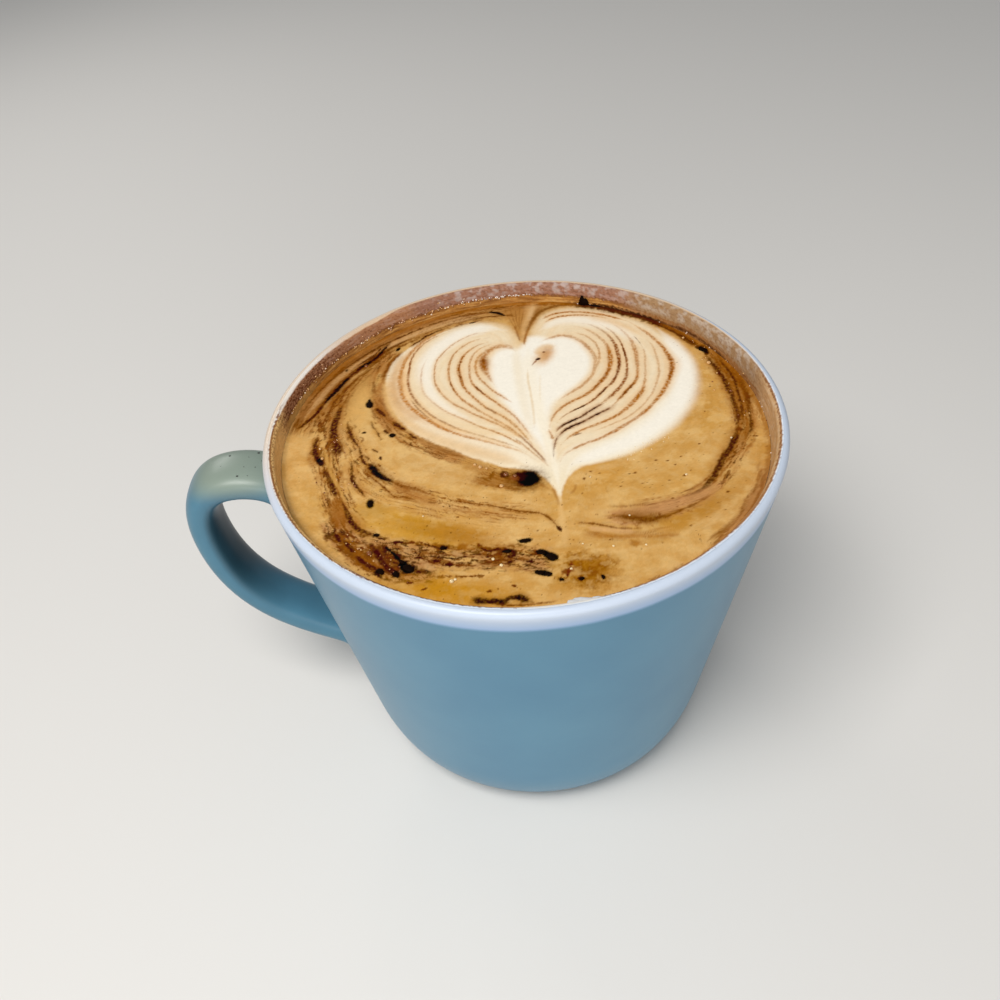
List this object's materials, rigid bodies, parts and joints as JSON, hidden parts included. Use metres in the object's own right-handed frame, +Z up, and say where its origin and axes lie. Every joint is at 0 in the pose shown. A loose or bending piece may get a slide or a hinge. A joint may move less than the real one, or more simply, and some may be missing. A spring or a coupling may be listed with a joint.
{
  "type": "latte in a cup",
  "caption": "Flared round-bottomed ceramic cup with a strap handle, filled close to the lip with a latte whose foam carries a rippled heart.",
  "frame": {"origin": "centre of the foot ring, on the plane the cup stands on", "axes": "+Z up along the cup's axis, -X towards the middle of the handle, Y across the handle"},
  "size_m": [0.1197, 0.1, 0.0784],
  "materials": {
    "glaze": "satin glaze, pale grey-blue outside and white inside",
    "latte": "wet milk foam"
  },
  "bodies": {
    "root": {"cup": "glaze", "latte": "latte"}
  },
  "joints": []
}
